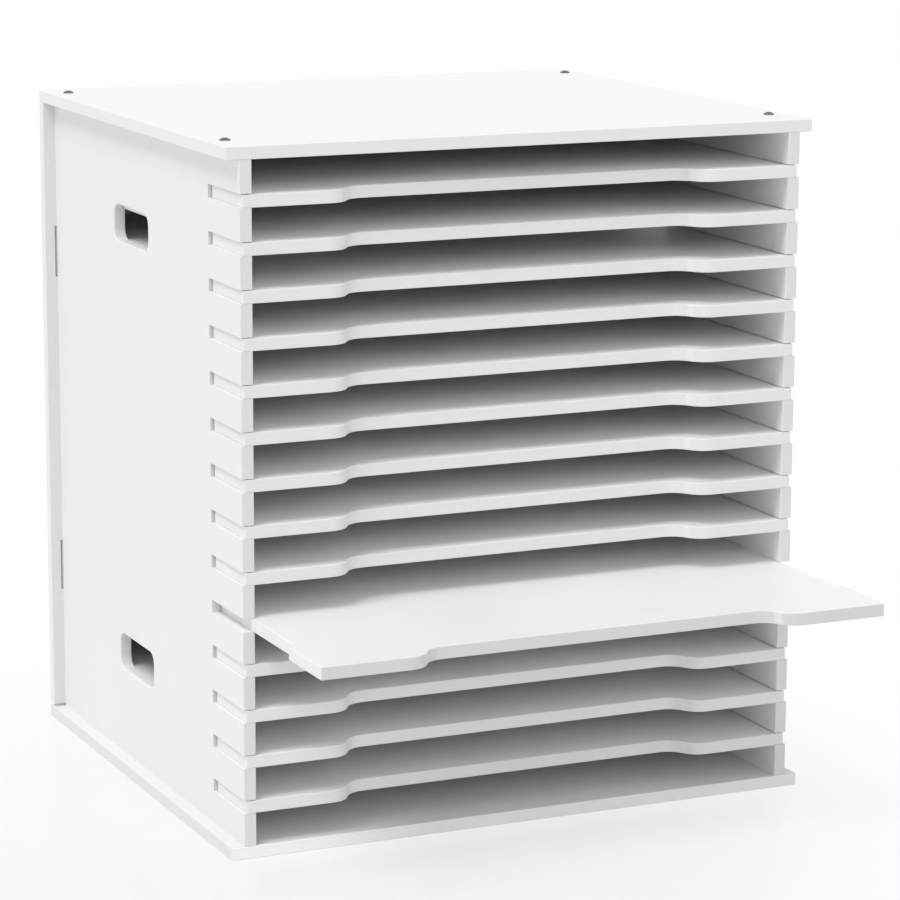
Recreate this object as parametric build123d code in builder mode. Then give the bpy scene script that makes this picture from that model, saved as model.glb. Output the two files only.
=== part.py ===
"""Paper storage drawers: a white cabinet of thin boards with fourteen pull-out shelves.

Millimetres. X runs from left to right, Y from front to back, Z up. The origin is the middle of
the bottom panel's underside, on the surface that the cabinet stands on.
"""
import os
from build123d import *

# ---------------------------------------------------------------- driving dimensions

cabinet_width = 337.0        # over the outer faces of the two side panels
side_depth = 308.0           # front to back, enough for a 12 inch (304.8 mm) sheet
compartment_height = 18.5    # clear height between two boards
shelf_count = 14

top_thickness = 7.0
bottom_thickness = 7.0
side_thickness = 7.0
back_thickness = 7.0
shelf_thickness = 7.0

overhang = 7.5               # top, bottom and back stand out past the side panels by this
edge_radius = 0.5            # eased edges of every board

# Shelf boards
ear_depth = 45.0             # front to back, of the wide front part of a shelf
ear_inset = 1.4              # an ear's end stays this far inside the side's outer face
ear_back_gap = 2.0           # between an ear and the rear end of its slot
ear_corner_radius = 1.0
shelf_corner_radius = 4.0    # rear corners
shelf_back_gap = 1.0         # between a shelf's rear edge and the back panel
front_land = 51.0            # straight front edge at each end, before the finger recess
recess_depth = 14.0
recess_run = 23.0            # width of the S-curve that leads into the recess

# Slots and grooves that carry the shelves
slot_clearance = 0.5         # above a shelf in its slot
groove_depth = 2.0           # into the side's inner face, behind the through slot
groove_gap = 0.5             # between a shelf's side edge and the bottom of its groove

# Hand holes in the side panels, each level with a compartment
hole_length = 58.0
hole_height = 21.0
hole_corner_radius = 6.5
hole_setback = 173.0         # from the side's front edge to the hole's middle
hole_rise = 1.0              # lower edge above the board beneath it
hole_compartment = 3         # counted from the top, and again from the bottom
hole_edge_radius = 0.8

# Tenons on the side panels' rear edges, in mortises through the back panel
tenon_height = 30.0
tenon_spacing = 195.0        # between the middles of the two tenons of one side
mortise_side_gap = 1.5
mortise_end_gap = 0.5
back_bottom_gap = 2.0        # open slit between the back panel and the bottom panel

# Wood screws down through the top panel and up through the bottom panel
screw_radius = 1.5
screw_length = 20.0          # under the head
screw_tip_length = 4.0
screw_head_radius = 3.0
screw_head_height = 1.5      # at the middle of its dome
screw_head_rim = 0.5         # at its edge
screw_hole_gap = 0.2         # around the shank, in the top and bottom panels
pilot_gap = 0.05             # around the shank, in a side panel's edge
head_recess_gap = 0.4        # around a head that is sunk into the bottom panel
head_recess_margin = 0.5     # a sunk head stays this far inside the surface
screw_front_setback = 30.0   # from the side's front edge
screw_rear_setback = 16.0    # from the side's rear edge
drive_length = 3.4           # cross recess in the head
drive_width = 0.8
drive_depth = 0.9

# The shelf that stands pulled out
pulled_shelf_number = 10     # counted from the top
pull_at_rest = 107.0

# ---------------------------------------------------------------- what follows from them

cabinet_depth = side_depth + back_thickness
front_y = -cabinet_depth / 2
side_rear_y = front_y + side_depth
panel_width = cabinet_width + 2 * overhang

pitch = compartment_height + shelf_thickness
inner_height = shelf_count * pitch + compartment_height
inner_bottom_z = bottom_thickness
inner_top_z = inner_bottom_z + inner_height
overall_height = inner_top_z + top_thickness

side_outer_x = cabinet_width / 2
side_inner_x = side_outer_x - side_thickness
side_middle_x = side_outer_x - side_thickness / 2

slot_depth = ear_depth + ear_back_gap
slot_height = shelf_thickness + slot_clearance
ear_end_x = side_outer_x - ear_inset
shelf_edge_x = side_inner_x + groove_depth - groove_gap
shelf_depth = side_depth - shelf_back_gap

tenon_middle_z = inner_bottom_z + inner_height / 2
tenon_levels = [tenon_middle_z - tenon_spacing / 2, tenon_middle_z + tenon_spacing / 2]
head_recess_depth = screw_head_height + head_recess_margin
screw_ys = [front_y + screw_front_setback, side_rear_y - screw_rear_setback]
screw_points = [(x, y) for x in (-side_middle_x, side_middle_x) for y in screw_ys]


def shelf_underside(number):
    """Height of a shelf's lower face; shelf 1 is the topmost."""
    return inner_top_z - number * pitch


def compartment_floor(number):
    """Height of a compartment's floor; compartment 1 is the topmost."""
    return inner_top_z - compartment_height - (number - 1) * pitch


slot_corners = [(front_y, shelf_underside(number)) for number in range(1, shelf_count + 1)]
hole_levels = [
    compartment_floor(number) + hole_rise + hole_height / 2
    for number in (hole_compartment, shelf_count + 2 - hole_compartment)
]


# ---------------------------------------------------------------- top and bottom panels

with BuildPart() as top_panel:
    with BuildSketch(Plane.XY.offset(inner_top_z)):
        Rectangle(panel_width, cabinet_depth)
    extrude(amount=top_thickness)
    fillet(edges(), radius=edge_radius)
    with Locations(Plane.XY.offset(overall_height)):
        with Locations(*screw_points):
            Hole(radius=screw_radius + screw_hole_gap)

with BuildPart() as bottom_panel:
    with BuildSketch(Plane.XY):
        Rectangle(panel_width, cabinet_depth)
    extrude(amount=bottom_thickness)
    fillet(edges(), radius=edge_radius)
    with Locations(Plane.XY.rotated((180, 0, 0))):
        with Locations(*[(x, -y) for x, y in screw_points]):
            CounterBoreHole(
                radius=screw_radius + screw_hole_gap,
                counter_bore_radius=screw_head_radius + head_recess_gap,
                counter_bore_depth=head_recess_depth,
            )

# ---------------------------------------------------------------- back panel

with BuildPart() as back_panel:
    with BuildSketch(Plane.XZ.offset(-side_rear_y)):
        with Locations((0, inner_top_z)):
            Rectangle(
                panel_width,
                inner_height - back_bottom_gap,
                align=(Align.CENTER, Align.MAX),
            )
    extrude(amount=-back_thickness)
    fillet(edges(), radius=edge_radius)
    with BuildSketch(Plane.XZ.offset(-side_rear_y)):
        with Locations(*[(x, z) for x in (-side_middle_x, side_middle_x) for z in tenon_levels]):
            Rectangle(side_thickness + 2 * mortise_side_gap, tenon_height + 2 * mortise_end_gap)
    extrude(amount=-back_thickness, mode=Mode.SUBTRACT)

# ---------------------------------------------------------------- side panels

with BuildPart() as left_side_panel:
    # Board, with its front edges eased
    with BuildSketch(Plane.YZ.offset(-side_outer_x)):
        with Locations((front_y, inner_bottom_z)):
            Rectangle(side_depth, inner_height, align=(Align.MIN, Align.MIN))
    extrude(amount=side_thickness)
    fillet(edges().filter_by(Axis.Z).group_by(Axis.Y)[0], radius=edge_radius)

    # Tenons on the rear edge
    with BuildSketch(Plane.YZ.offset(-side_outer_x)):
        with Locations(*[(side_rear_y, z) for z in tenon_levels]):
            Rectangle(back_thickness, tenon_height, align=(Align.MIN, Align.CENTER))
    extrude(amount=side_thickness)

    # Hand holes with eased rims
    with BuildSketch(Plane.YZ.offset(-side_outer_x)):
        with Locations(*[(front_y + hole_setback, z) for z in hole_levels]):
            RectangleRounded(hole_length, hole_height, hole_corner_radius)
    extrude(amount=side_thickness, mode=Mode.SUBTRACT)
    fillet(edges(Select.LAST).filter_by(Plane.YZ), radius=hole_edge_radius)

    # Through slots for the shelves' ears, open at the front edge
    with BuildSketch(Plane.YZ.offset(-side_outer_x)):
        with Locations(*slot_corners):
            Rectangle(slot_depth, slot_height, align=(Align.MIN, Align.MIN))
    extrude(amount=side_thickness, mode=Mode.SUBTRACT)

    # Shallow grooves that carry on from the slots to the rear edge, on the inner face
    with BuildSketch(Plane.YZ.offset(-side_inner_x)):
        with Locations(*slot_corners):
            Rectangle(side_depth, slot_height, align=(Align.MIN, Align.MIN))
    extrude(amount=-groove_depth, mode=Mode.SUBTRACT)

    # Pilot holes for the screws, in the upper and lower edges
    pilot_points = [(-side_middle_x, y) for y in screw_ys]
    with Locations(Plane.XY.offset(inner_top_z)):
        with Locations(*pilot_points):
            Hole(radius=screw_radius + pilot_gap, depth=screw_length - top_thickness)
    with BuildSketch(Plane.XY.offset(inner_bottom_z)):
        with Locations(*pilot_points):
            Circle(screw_radius + pilot_gap)
    extrude(amount=screw_length - bottom_thickness + head_recess_depth, mode=Mode.SUBTRACT)

with BuildPart() as right_side_panel:
    mirror(left_side_panel.part, about=Plane.YZ)

# ---------------------------------------------------------------- screws

with BuildPart() as wood_screw:
    # Head up, with the underside of the head at the origin
    with BuildSketch(Plane.XZ):
        with BuildLine():
            Polyline(
                (0, screw_head_height),
                (0, -screw_length),
                (screw_radius, screw_tip_length - screw_length),
                (screw_radius, 0),
                (screw_head_radius, 0),
                (screw_head_radius, screw_head_rim),
            )
            TangentArc(
                (0, screw_head_height),
                (screw_head_radius, screw_head_rim),
                tangent=(1, 0),
            )
        make_face()
    revolve(axis=Axis.Z)
    with BuildSketch(Plane.XY.offset(screw_head_height)):
        Rectangle(drive_length, drive_width)
        Rectangle(drive_width, drive_length)
    extrude(amount=-drive_depth, mode=Mode.SUBTRACT)

with BuildPart() as top_screws:
    with Locations(*[(x, y, overall_height) for x, y in screw_points]):
        add(wood_screw.part)

with BuildPart() as bottom_screws:
    with Locations(*[(x, y, head_recess_depth) for x, y in screw_points]):
        add(wood_screw.part, rotation=(180, 0, 0))

# ---------------------------------------------------------------- shelves


def make_shelf(number):
    """One shelf board, its front edge in line with the side panels, or pulled out."""
    front = front_y - (pull_at_rest if number == pulled_shelf_number else 0)
    recess_start = ear_end_x - front_land
    recess_end = recess_start - recess_run
    with BuildPart() as shelf:
        with BuildSketch(Plane.XY.offset(shelf_underside(number))):
            with BuildLine():
                # Right half, from the middle of the recess round to the rear edge
                floor = Line((0, front + recess_depth), (recess_end, front + recess_depth))
                inner_bend = TangentArc(
                    floor @ 1,
                    (recess_end + recess_run / 2, front + recess_depth / 2),
                    tangent=floor % 1,
                )
                outer_bend = TangentArc(inner_bend @ 1, (recess_start, front), tangent=inner_bend % 1)
                Polyline(
                    outer_bend @ 1,
                    (ear_end_x, front),
                    (ear_end_x, front + ear_depth),
                    (shelf_edge_x, front + ear_depth),
                    (shelf_edge_x, front + shelf_depth),
                    (0, front + shelf_depth),
                )
                mirror(about=Plane.YZ)
            make_face()
        extrude(amount=shelf_thickness)
        corners = edges().filter_by(Axis.Z)
        ear_corners = corners.group_by(Axis.X)[0] + corners.group_by(Axis.X)[-1]
        fillet(ear_corners, radius=ear_corner_radius)
        fillet(edges().filter_by(Axis.Z).group_by(Axis.Y)[-1], radius=shelf_corner_radius)
        fillet(edges().filter_by(Plane.XY), radius=edge_radius)
    return shelf.part


pieces = {
    "top_panel": top_panel.part,
    "bottom_panel": bottom_panel.part,
    "back_panel": back_panel.part,
    "left_side_panel": left_side_panel.part,
    "right_side_panel": right_side_panel.part,
    "top_screws": top_screws.part,
    "bottom_screws": bottom_screws.part,
}
for number in range(1, shelf_count + 1):
    pieces[f"shelf_{number:02d}"] = make_shelf(number)

# ---------------------------------------------------------------- files

os.makedirs("parts", exist_ok=True)
for name, piece in pieces.items():
    piece.label = name
    export_step(piece, f"parts/{name}.step")
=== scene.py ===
"""Looks of the paper storage drawers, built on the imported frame. Metres, +Z up.

Every piece is a CAD board or screw. This script gives each one its finish, and sets the camera,
the floor and the light.
"""
import math

import bpy
from mathutils import Matrix, Vector

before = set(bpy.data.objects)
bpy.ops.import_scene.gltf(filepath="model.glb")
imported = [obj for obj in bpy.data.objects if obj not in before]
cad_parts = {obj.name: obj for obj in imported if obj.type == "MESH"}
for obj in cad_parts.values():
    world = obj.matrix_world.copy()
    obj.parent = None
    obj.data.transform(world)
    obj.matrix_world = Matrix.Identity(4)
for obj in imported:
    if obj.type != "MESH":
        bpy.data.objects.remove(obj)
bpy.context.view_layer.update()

# ---------------------------------------------------------------- sizes and tones

# The range that most values of a noise lie in
NOISE_RANGE = (0.30, 0.70)

# Camera, as fitted to the cabinet's edges in the photograph
CAMERA_PLACE = (-0.8281, -1.8761, 0.6077)
CAMERA_YAW = 24.45           # degrees, from +Y towards +X
CAMERA_PITCH = 11.67         # degrees below the horizon
CAMERA_ROLL = 0.24           # degrees, anticlockwise
SENSOR_WIDTH = 36.0          # mm
IMAGE_WIDTH = 900            # pixels
FOCAL_PIXELS = 3529.0
CLIP = (0.05, 50.0)          # nearest and farthest distance that is drawn

# Light: a bright even sky, a broad lamp from above and the left, and a weak one from the front.
# A lamp's direction runs from the cabinet towards it, and its angle, in degrees across, softens
# its shadows. The low front lamp makes no highlights, so the top stays below white from behind.
SKY_LEVEL = 0.62
BACKGROUND_LEVEL = 1.0
KEY = {"strength": 1.38, "direction": (-0.445, -0.240, 0.863), "angle": 24.0, "gloss": True}
FILL = {"strength": 0.55, "direction": (-0.06, -0.97, 0.235), "angle": 40.0, "gloss": False}

FLOOR_RADIUS = 6.0
FLOOR_CORNERS = 96
FLOOR_GAP = 0.0002           # keeps the floor off the cabinet's underside
FLOOR_TONE = (0.90, 0.90, 0.90)
FLOOR_HAZE_SCALE = 4.0
FLOOR_ROUGHNESS = (0.14, 0.18)
FLOOR_SHADE = 0.28           # how far shadows and reflections show on the floor by the cabinet
FLOOR_NEAR_PAINTED_SHADE = 0.94      # painted shade and reflection: how pale the plain floor is by the cabinet
FLOOR_CENTRE = (-0.13, -0.14, 0.0)
FLOOR_FADE = (0.15, 0.48)    # from here to there, off that centre, the floor turns into background

# Boards. A front tone is the one on the sides that look forwards, and each kind of board has its
# own: painted light and shade over the greyer paint of sawn fibreboard.
FACE_TONE = (0.900, 0.900, 0.898)
# Partly the greyer paint of sawn fibreboard, partly painted shade on the forward-looking sides of
# the shelves and the top.
FRONT_TONE_AND_SHADE = (0.790, 0.790, 0.788)
# Painted shade: the standing panels' front sides are darker than the shelves' fronts.
PANEL_FRONT_PAINTED_SHADE = (0.735, 0.735, 0.733)
# Painted shade: the open shelf's front side is darker than the other shelves' fronts.
OPEN_SHELF_FRONT_PAINTED_SHADE = (0.670, 0.670, 0.668)
# Painted light and shade on the bottom panel: its face is greyer and its front side lighter than
# the other boards'.
BASE_FACE_PAINTED_SHADE = (0.820, 0.820, 0.818)
BASE_FRONT_PAINTED_LIGHT = (0.910, 0.910, 0.908)
OPEN_SHELF = "shelf_10"
FORWARDS = (0.35, 0.75)      # share of a normal that points forwards, where that tone and its painted shade fade in
CLOUD_SCALE = 9.0            # broad patches on the faces
CLOUD_RANGE = (0.35, 0.65)
CLOUD_SHARE = 0.985          # the patches' tone, as a share of the face's own
SPECKLE_SCALE = 700.0        # fine relief of sprayed paint
SPECKLE_HEIGHT = 0.000012
FIBRE_SCALE = 1500.0         # sawn fibreboard under the paint of the front sides
FIBRE_SHARE = 0.93           # the fibres' tone, as a share of the front tone
FIBRE_HEIGHT = 0.00005
BOARD_ROUGHNESS = (0.42, 0.54)
FRONT_ROUGHNESS_ADDED = 0.12
BOARD_SPECULAR = 0.3

# Screws
SCREW_TONE = (0.140, 0.140, 0.144)
SCREW_METALLIC = 0.6
SCREW_ROUGHNESS = (0.34, 0.50)
WORN_SCALE = 900.0
WORN_RANGE = (0.50, 0.75)
WORN_SHARE = 2.2             # the worn patches' tone, as a share of the screw's own
GRAIN_SCALE = 5000.0
GRAIN_HEIGHT = 0.00001


# ---------------------------------------------------------------- node helpers

class Nodes:
    """Short calls that add nodes to one material or world and link them."""

    def __init__(self, owner):
        owner.use_nodes = True
        self.tree = owner.node_tree
        self.tree.nodes.clear()

    def add(self, kind, **settings):
        node = self.tree.nodes.new("ShaderNode" + kind)
        for name, value in settings.items():
            setattr(node, name, value)
        return node

    def link(self, source, target):
        self.tree.links.new(source, target)

    def math(self, operation, *values):
        """One Math node; a value is a number or another node's output."""
        node = self.add("Math", operation=operation)
        for socket, value in zip(node.inputs, values):
            if isinstance(value, (int, float)):
                socket.default_value = value
            else:
                self.link(value, socket)
        return node.outputs[0]

    def fade(self, value, low, high, out_low=0.0, out_high=1.0):
        """Smooth step of a value from one range to another."""
        node = self.add("MapRange", interpolation_type="SMOOTHSTEP")
        self.link(value, node.inputs["Value"])
        for name, number in (("From Min", low), ("From Max", high),
                             ("To Min", out_low), ("To Max", out_high)):
            node.inputs[name].default_value = number
        return node.outputs["Result"]

    def mix(self, factor, first, second):
        """Mixes two colours, each a tuple or another node's output."""
        node = self.add("Mix", data_type="RGBA")
        self.link(factor, node.inputs[0])
        for socket, value in ((node.inputs[6], first), (node.inputs[7], second)):
            if isinstance(value, tuple):
                socket.default_value = (*value, 1.0)
            else:
                self.link(value, socket)
        return node.outputs[2]

    def noise(self, place, scale, detail=2.0, roughness=0.5):
        """Noise with that many cells to a metre."""
        node = self.add("TexNoise")
        node.inputs["Scale"].default_value = scale
        node.inputs["Detail"].default_value = detail
        node.inputs["Roughness"].default_value = roughness
        self.link(place, node.inputs["Vector"])
        return node.outputs["Fac"]

    def bump(self, height, distance, normal=None):
        """Relief of that height in metres, on top of another relief if one is given."""
        node = self.add("Bump")
        node.inputs["Strength"].default_value = 1.0
        node.inputs["Distance"].default_value = distance
        self.link(height, node.inputs["Height"])
        if normal is not None:
            self.link(normal, node.inputs["Normal"])
        return node.outputs["Normal"]


def scaled(tone, share):
    return tuple(channel * share for channel in tone)


# ---------------------------------------------------------------- materials

def board_material(name, front_tone_and_painted_light, face_tone_and_painted_shade=FACE_TONE):
    """White paint on thin fibreboard, rougher and in another tone on sides that look forwards:
    partly the greyer paint of a sawn edge, partly painted light and shade.
    """
    material = bpy.data.materials.new(name)
    nodes = Nodes(material)
    place = nodes.add("TexCoord")
    parts = nodes.add("SeparateXYZ")
    nodes.link(place.outputs["Normal"], parts.inputs[0])
    # Mask of the forward-looking sides, where the front tone with its painted shade goes.
    front = nodes.fade(nodes.math("MULTIPLY", parts.outputs["Y"], -1.0), *FORWARDS)

    cloud = nodes.noise(place.outputs["Object"], CLOUD_SCALE, detail=3.0)
    speckle = nodes.noise(place.outputs["Object"], SPECKLE_SCALE)
    fibre = nodes.noise(place.outputs["Object"], FIBRE_SCALE, detail=4.0, roughness=0.7)

    face_colour = nodes.mix(
        nodes.fade(cloud, *CLOUD_RANGE), scaled(face_tone_and_painted_shade, CLOUD_SHARE), face_tone_and_painted_shade
    )
    # Front colour: fibre texture over a tone that is painted shade on most boards and painted
    # light on the bottom panel.
    front_colour = nodes.mix(
        nodes.fade(fibre, *NOISE_RANGE), scaled(front_tone_and_painted_light, FIBRE_SHARE), front_tone_and_painted_light
    )
    colour = nodes.mix(front, face_colour, front_colour)

    face_roughness = nodes.fade(cloud, *NOISE_RANGE, *BOARD_ROUGHNESS)
    added_roughness = nodes.math("MULTIPLY", front, FRONT_ROUGHNESS_ADDED)
    roughness = nodes.math("ADD", face_roughness, added_roughness)

    peel = nodes.bump(speckle, SPECKLE_HEIGHT)
    relief = nodes.bump(nodes.math("MULTIPLY", fibre, front), FIBRE_HEIGHT, normal=peel)

    shader = nodes.add("BsdfPrincipled")
    shader.inputs["Specular IOR Level"].default_value = BOARD_SPECULAR
    nodes.link(colour, shader.inputs["Base Color"])
    nodes.link(roughness, shader.inputs["Roughness"])
    nodes.link(relief, shader.inputs["Normal"])
    output = nodes.add("OutputMaterial")
    nodes.link(shader.outputs[0], output.inputs["Surface"])
    return material


def screw_material():
    """Black oxide steel with a satin sheen and slightly worn, lighter patches."""
    material = bpy.data.materials.new("black_oxide_steel")
    nodes = Nodes(material)
    place = nodes.add("TexCoord").outputs["Object"]
    patches = nodes.noise(place, WORN_SCALE, detail=3.0)
    grain = nodes.noise(place, GRAIN_SCALE)

    worn = nodes.fade(patches, *WORN_RANGE)
    colour = nodes.mix(worn, SCREW_TONE, scaled(SCREW_TONE, WORN_SHARE))
    shader = nodes.add("BsdfPrincipled")
    shader.inputs["Metallic"].default_value = SCREW_METALLIC
    nodes.link(colour, shader.inputs["Base Color"])
    roughness = nodes.fade(patches, *NOISE_RANGE, *SCREW_ROUGHNESS)
    nodes.link(roughness, shader.inputs["Roughness"])
    nodes.link(nodes.bump(grain, GRAIN_HEIGHT), shader.inputs["Normal"])
    output = nodes.add("OutputMaterial")
    nodes.link(shader.outputs[0], output.inputs["Surface"])
    return material


def seen_directly(nodes):
    """1 for a ray that comes from the camera, a reflection or glass, and 0 for other rays."""
    path = nodes.add("LightPath").outputs
    mirrored = nodes.math("MAXIMUM", path["Is Glossy Ray"], path["Is Transmission Ray"])
    return nodes.math("MAXIMUM", path["Is Camera Ray"], mirrored)


def floor_material():
    """Glossy white surface that turns into plain white background away from the cabinet, with
    painted shade and reflection near it, where that plain white is a little darker.
    """
    material = bpy.data.materials.new("floor_gloss_white_painted_shade")
    nodes = Nodes(material)
    place = nodes.add("TexCoord").outputs["Object"]
    distance = nodes.add("VectorMath", operation="DISTANCE")
    nodes.link(place, distance.inputs[0])
    distance.inputs[1].default_value = FLOOR_CENTRE
    away = distance.outputs["Value"]
    plain = nodes.fade(away, *FLOOR_FADE, 1.0 - FLOOR_SHADE, 1.0)
    # Painted shade and reflection: near the cabinet the plain floor is a little darker than
    # background.
    near_painted_shade = nodes.fade(away, *FLOOR_FADE, FLOOR_NEAR_PAINTED_SHADE, BACKGROUND_LEVEL)

    haze = nodes.noise(place, FLOOR_HAZE_SCALE)
    surface = nodes.add("BsdfPrincipled")
    surface.inputs["Base Color"].default_value = (*FLOOR_TONE, 1.0)
    roughness = nodes.fade(haze, *NOISE_RANGE, *FLOOR_ROUGHNESS)
    nodes.link(roughness, surface.inputs["Roughness"])
    white = nodes.add("Emission")
    nodes.link(near_painted_shade, white.inputs["Strength"])
    blend = nodes.add("MixShader")
    nodes.link(nodes.math("MULTIPLY", plain, seen_directly(nodes)), blend.inputs[0])
    nodes.link(surface.outputs[0], blend.inputs[1])
    nodes.link(white.outputs[0], blend.inputs[2])
    output = nodes.add("OutputMaterial")
    nodes.link(blend.outputs[0], output.inputs["Surface"])
    return material


def give(node_name, material):
    """Gives a CAD node one material on its whole surface."""
    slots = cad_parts[node_name].data.materials
    slots.clear()
    slots.append(material)


# ---------------------------------------------------------------- stage, light and camera

def add_floor():
    bpy.ops.mesh.primitive_circle_add(
        vertices=FLOOR_CORNERS, radius=FLOOR_RADIUS, fill_type="NGON"
    )
    floor = bpy.context.object
    floor.name = "floor"
    floor.location.z = -FLOOR_GAP
    floor.data.materials.append(floor_material())


def add_world():
    """Sky light, and a plain white background for what the camera and reflections see."""
    world = bpy.data.worlds.new("sky")
    bpy.context.scene.world = world
    nodes = Nodes(world)
    sky = nodes.add("Background")
    sky.inputs["Strength"].default_value = SKY_LEVEL
    background = nodes.add("Background")
    background.inputs["Strength"].default_value = BACKGROUND_LEVEL
    for layer in (sky, background):
        layer.inputs["Color"].default_value = (1.0, 1.0, 1.0, 1.0)
    blend = nodes.add("MixShader")
    nodes.link(seen_directly(nodes), blend.inputs[0])
    nodes.link(sky.outputs[0], blend.inputs[1])
    nodes.link(background.outputs[0], blend.inputs[2])
    output = nodes.add("OutputWorld")
    nodes.link(blend.outputs[0], output.inputs["Surface"])


def add_lamp(name, strength, direction, angle, gloss):
    lamp = bpy.data.lights.new(name, "SUN")
    lamp.energy = strength
    lamp.angle = math.radians(angle)
    holder = bpy.data.objects.new(name, lamp)
    holder.visible_glossy = gloss
    holder.rotation_euler = Vector(direction).to_track_quat("Z", "Y").to_euler()
    bpy.context.scene.collection.objects.link(holder)


def add_camera():
    lens = bpy.data.cameras.new("camera")
    lens.sensor_width = SENSOR_WIDTH
    lens.lens = FOCAL_PIXELS * SENSOR_WIDTH / IMAGE_WIDTH
    lens.clip_start, lens.clip_end = CLIP
    camera = bpy.data.objects.new("camera", lens)
    bpy.context.scene.collection.objects.link(camera)
    aim = (
        Matrix.Rotation(math.radians(-CAMERA_YAW), 4, "Z")
        @ Matrix.Rotation(math.radians(90.0 - CAMERA_PITCH), 4, "X")
        @ Matrix.Rotation(math.radians(CAMERA_ROLL), 4, "Z")
    )
    camera.matrix_world = Matrix.Translation(CAMERA_PLACE) @ aim
    bpy.context.scene.camera = camera


bpy.context.scene.view_settings.view_transform = "Standard"
add_floor()
add_world()
add_lamp("key", **KEY)
add_lamp("fill", **FILL)
add_camera()

# ---------------------------------------------------------------- finishes

# Each kind of board is a lit or shaded copy of one paint: the front tones, and the bottom panel's
# face, are painted light and shade.
lying_board = board_material("white_board_lying_front_shade", FRONT_TONE_AND_SHADE)
standing_board = board_material("white_board_standing_painted_shade", PANEL_FRONT_PAINTED_SHADE)
base_board = board_material("white_board_base_painted_light_and_shade", BASE_FRONT_PAINTED_LIGHT, BASE_FACE_PAINTED_SHADE)
open_board = board_material("white_board_open_shelf_painted_shade", OPEN_SHELF_FRONT_PAINTED_SHADE)
steel = screw_material()

for node_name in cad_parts:
    if node_name.endswith("screws"):
        give(node_name, steel)
    elif node_name in ("left_side_panel", "right_side_panel", "back_panel"):
        give(node_name, standing_board)
    elif node_name == "bottom_panel":
        give(node_name, base_board)
    elif node_name == OPEN_SHELF:
        give(node_name, open_board)
    else:
        give(node_name, lying_board)
